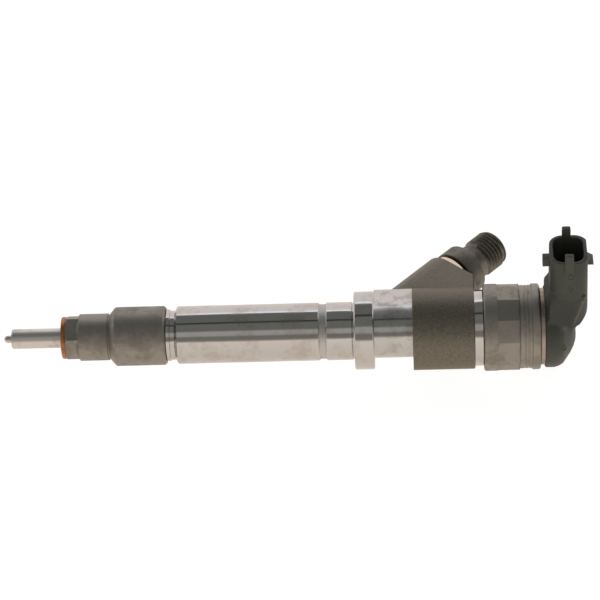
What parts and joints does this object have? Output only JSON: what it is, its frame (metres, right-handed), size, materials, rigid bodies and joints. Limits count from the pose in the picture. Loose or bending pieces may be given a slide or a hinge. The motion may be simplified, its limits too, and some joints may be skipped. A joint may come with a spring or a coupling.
{
  "type": "fuel injector",
  "caption": "Solenoid diesel fuel injector: slim nozzle, long round body with clamp flats, angled threaded inlet, and a plastic cap with an upright electrical socket.",
  "frame": {"origin": "on the injector's axis, at the front face of the copper washer, which seals on the cylinder head", "axes": "+X along the injector from the nozzle tip to the solenoid cap, +Z the way the electrical socket opens, +Y towards the high-pressure inlet"},
  "size_m": [0.2086, 0.0637, 0.054],
  "materials": {
    "ground_steel": "ground, the forged head matt",
    "nozzle_steel": "ground",
    "hardened_steel": "ground",
    "spring_steel": "drawn",
    "phosphated_steel": "satin",
    "black_oxide_steel": "satin",
    "sleeve_steel": "satin",
    "magnet_iron": "matt",
    "copper": "satin",
    "copper_wire": "enamelled",
    "tinned_brass": "tinned",
    "bobbin_plastic": "matt",
    "cap_plastic": "matt",
    "rubber": "matt"
  },
  "bodies": {
    "holder": {"injector_body": "ground_steel", "nozzle_body": "nozzle_steel", "copper_washer": "copper", "nozzle_nut": "phosphated_steel", "locating_pins": "hardened_steel", "needle_spring": "spring_steel", "spring_shim": "hardened_steel", "inlet_fitting": "black_oxide_steel", "edge_filter": "hardened_steel", "valve_piece": "hardened_steel", "valve_clamp_nut": "hardened_steel", "armature_guide": "hardened_steel", "return_spring": "spring_steel", "stroke_spacer": "hardened_steel", "solenoid_core": "magnet_iron", "coil_bobbin": "bobbin_plastic", "coil_winding": "copper_wire", "valve_spring": "spring_steel", "valve_spring_shim": "hardened_steel", "solenoid_sleeve": "sleeve_steel", "solenoid_o_ring": "rubber", "solenoid_nut": "phosphated_steel", "connector_cap": "cap_plastic", "terminal_pins": "tinned_brass"},
    "needle": {"nozzle_needle": "nozzle_steel", "spring_seat": "hardened_steel"},
    "piston": {"control_piston": "hardened_steel"},
    "armature": {"armature_bolt": "hardened_steel", "armature_plate": "magnet_iron", "ball_retainer": "hardened_steel", "valve_ball": "hardened_steel"}
  },
  "joints": [
    {"name": "needle_lift", "type": "slide", "parent": "holder", "child": "needle", "axis": [1, 0, 0], "range_m": [0, 0.00025], "stiffness_N_per_m": 2000, "deforming": ["needle_spring"]},
    {"name": "piston_lift", "type": "slide", "parent": "holder", "child": "piston", "axis": [1, 0, 0], "range_m": [0, 0.00025]},
    {"name": "armature_lift", "type": "slide", "parent": "holder", "child": "armature", "axis": [1, 0, 0], "range_m": [0, 0.00006], "stiffness_N_per_m": 2000, "deforming": ["valve_spring", "return_spring"]}
  ],
  "couplings": [
    {"joint": "piston_lift", "follows": "needle_lift", "ratio": 1}
  ]
}
